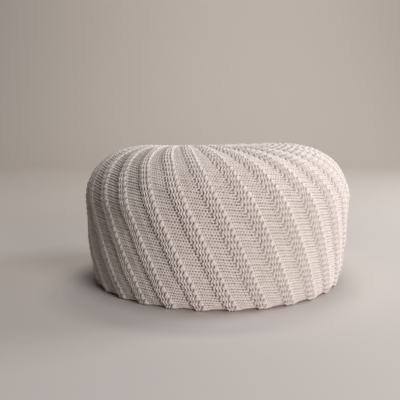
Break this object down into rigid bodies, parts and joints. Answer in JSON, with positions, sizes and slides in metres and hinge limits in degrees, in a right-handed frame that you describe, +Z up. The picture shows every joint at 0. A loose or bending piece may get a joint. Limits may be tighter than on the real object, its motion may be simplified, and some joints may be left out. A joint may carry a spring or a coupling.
{
  "type": "crocheted pouf",
  "caption": "Low round floor pouf: a firmly filled body in a crocheted off-white yarn cover with spiral ribs.",
  "frame": {"origin": "centre of the flat base, on the floor", "axes": "+Z up out of the crown; -Y is the side that faces the camera in the picture, +X is to the picture's right"},
  "size_m": [0.7998, 0.7998, 0.42],
  "materials": {
    "off_white_yarn": "matt crocheted cotton cord, warm off-white"
  },
  "bodies": {
    "root": {"crochet_pouf": "off_white_yarn"}
  },
  "joints": []
}
